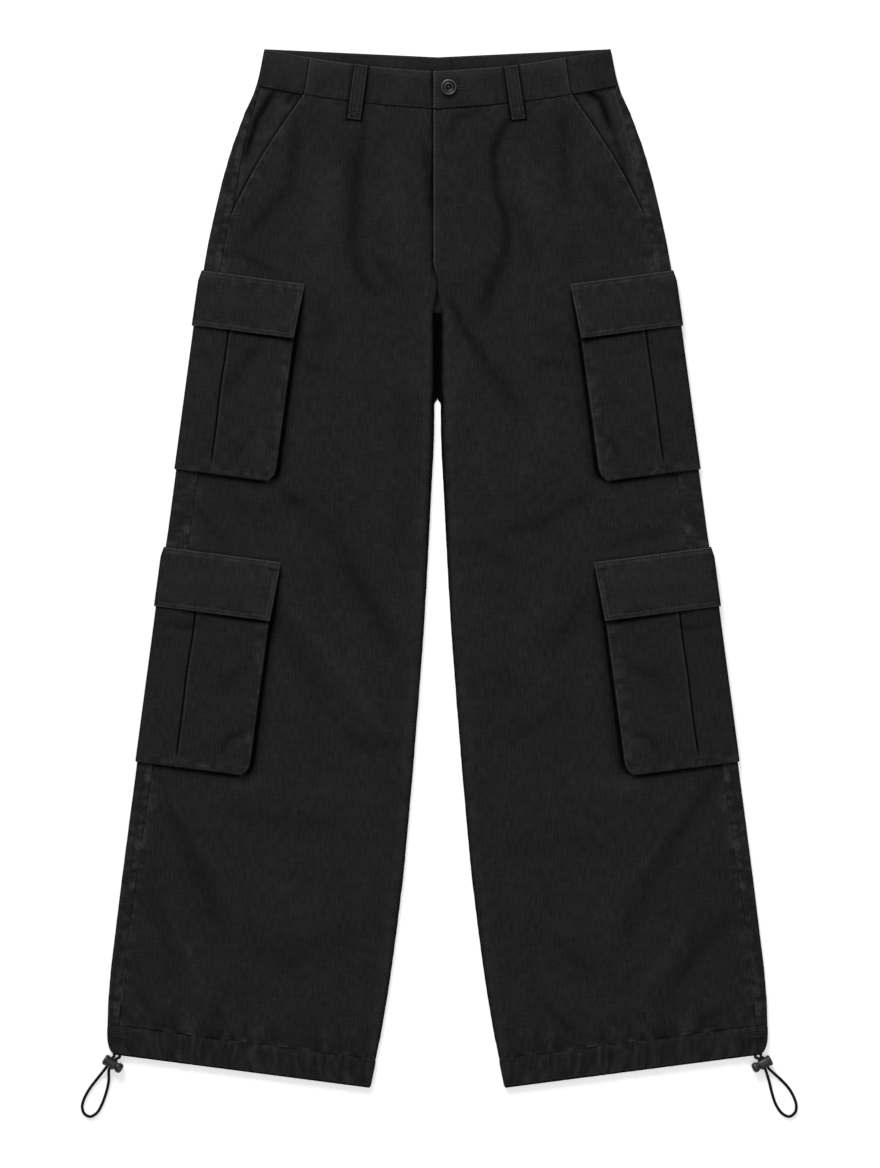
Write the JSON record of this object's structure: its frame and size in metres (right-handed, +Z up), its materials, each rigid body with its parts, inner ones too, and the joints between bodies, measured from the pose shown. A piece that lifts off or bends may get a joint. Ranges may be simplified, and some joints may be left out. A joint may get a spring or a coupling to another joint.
{
  "type": "cargo pants laid flat",
  "caption": "Wide-leg cargo trousers laid flat, with flapped side pockets, slanted hip pockets, button waistband and drawcord hems.",
  "frame": {"origin": "centre of the cloth's outline on the surface that it lies on", "axes": "+X to the viewer's right, +Y towards the waist, +Z up from the surface"},
  "size_m": [0.7167, 1.0678, 0.0156],
  "materials": {
    "black_twill": "matte woven cotton",
    "black_metal": "dark plated",
    "black_cord": "braided",
    "black_plastic": "moulded"
  },
  "bodies": {
    "garment": {"front_left": "black_twill", "front_right": "black_twill", "back_left": "black_twill", "back_right": "black_twill", "hip_facing_left": "black_twill", "hip_facing_right": "black_twill", "waistband_front_left": "black_twill", "waistband_front_right": "black_twill", "waistband_back": "black_twill", "belt_loop_front_left": "black_twill", "belt_loop_front_right": "black_twill", "belt_loop_back_left": "black_twill", "belt_loop_back_centre": "black_twill", "belt_loop_back_right": "black_twill", "cargo_pocket_upper_left": "black_twill", "cargo_pocket_upper_right": "black_twill", "cargo_pocket_lower_left": "black_twill", "cargo_pocket_lower_right": "black_twill", "pocket_flap_upper_left": "black_twill", "pocket_flap_upper_right": "black_twill", "pocket_flap_lower_left": "black_twill", "pocket_flap_lower_right": "black_twill", "hem_left": "black_twill", "hem_right": "black_twill", "waist_button": "black_metal", "drawcord_left": "black_cord", "drawcord_right": "black_cord", "lock_barrel_left": "black_plastic", "lock_barrel_right": "black_plastic"},
    "plunger_left": {"lock_plunger_left": "black_plastic"},
    "plunger_right": {"lock_plunger_right": "black_plastic"}
  },
  "joints": [
    {"name": "plunger_slide_left", "type": "slide", "parent": "garment", "child": "plunger_left", "axis": [-0.848, 0.5299, 0], "range_m": [0, 0.0022], "stiffness_N_per_m": 200, "springref_m": -0.003},
    {"name": "plunger_slide_right", "type": "slide", "parent": "garment", "child": "plunger_right", "axis": [0.891, 0.454, 0], "range_m": [0, 0.0022], "stiffness_N_per_m": 200, "springref_m": -0.003}
  ]
}
